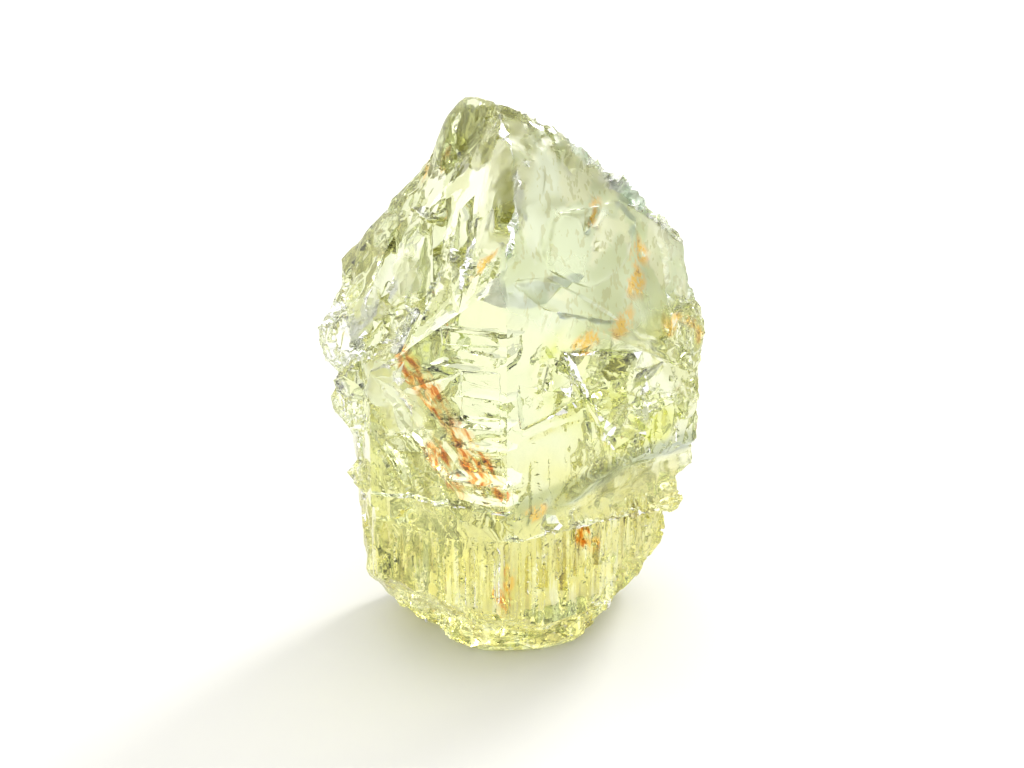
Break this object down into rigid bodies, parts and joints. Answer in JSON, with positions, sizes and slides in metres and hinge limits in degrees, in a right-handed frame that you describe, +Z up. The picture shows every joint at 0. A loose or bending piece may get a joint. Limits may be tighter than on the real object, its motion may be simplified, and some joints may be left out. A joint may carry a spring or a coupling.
{
  "type": "heliodor crystal",
  "caption": "Natural clear yellow-green beryl crystal, an etched hexagonal prism with slanting end faces, a rounded knob at the top and a flat broken foot that it stands on.",
  "frame": {"origin": "on the flat of the broken foot, on the line that the prism faces stand around", "axes": "+Z up along the crystal's long axis, -Y towards the edge between the two widest prism faces, which is the side the picture shows, +X to the right as seen from there"},
  "size_m": [0.0335, 0.0301, 0.0496],
  "materials": {
    "beryl": "clear and glassy on the flat faces, hazy and etched on the broken ones"
  },
  "bodies": {
    "root": {"crystal": "beryl"}
  },
  "joints": []
}
